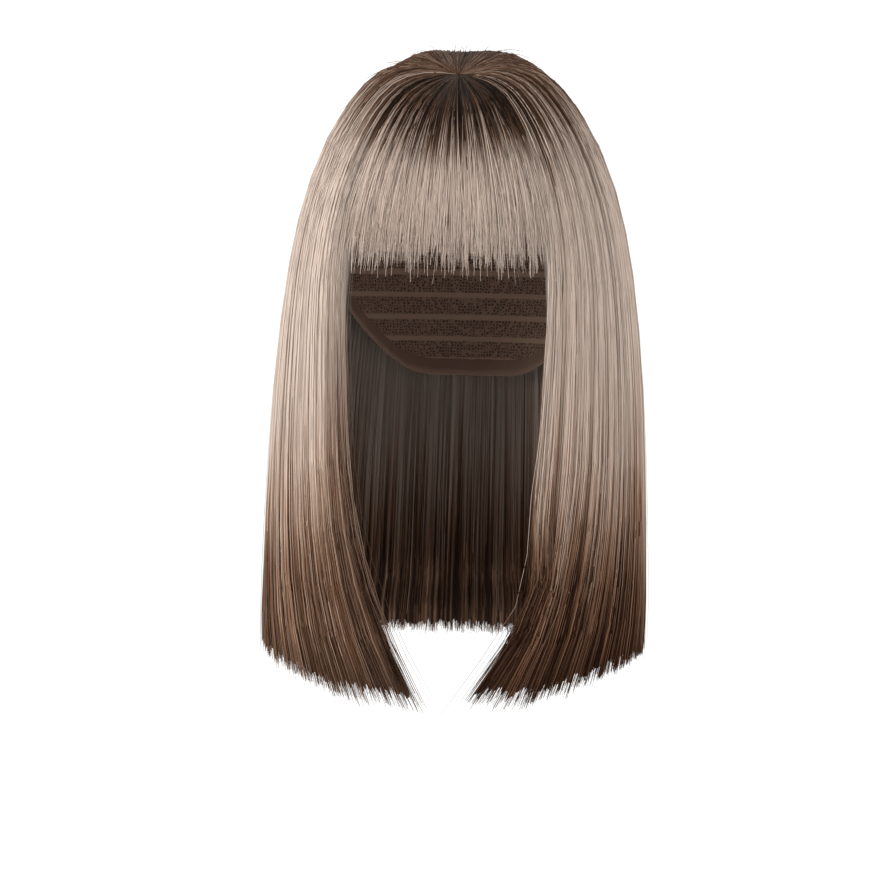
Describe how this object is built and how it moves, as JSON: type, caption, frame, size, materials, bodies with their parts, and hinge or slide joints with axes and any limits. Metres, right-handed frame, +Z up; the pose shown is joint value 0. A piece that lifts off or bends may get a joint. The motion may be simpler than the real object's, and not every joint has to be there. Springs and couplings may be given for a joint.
{
  "type": "synthetic wig",
  "caption": "Shoulder-length straight bob wig with a full fringe on a stretch cap, shaded from dark roots through ash blonde to brown tips, worn over the head.",
  "frame": {"origin": "highest inside point of the cap, where it sits on the crown of the head", "axes": "+Z up, the face opening looks along -Y, +X is the wearer's left"},
  "size_m": [0.2122, 0.2256, 0.3496],
  "materials": {
    "cap_net": "matte stretch net",
    "hair": "satin synthetic fibre, dark at the roots and tips"
  },
  "bodies": {
    "root": {"cap": "cap_net", "fringe": "hair", "left_curtain": "hair", "right_curtain": "hair", "back_curtain": "hair"}
  },
  "joints": []
}
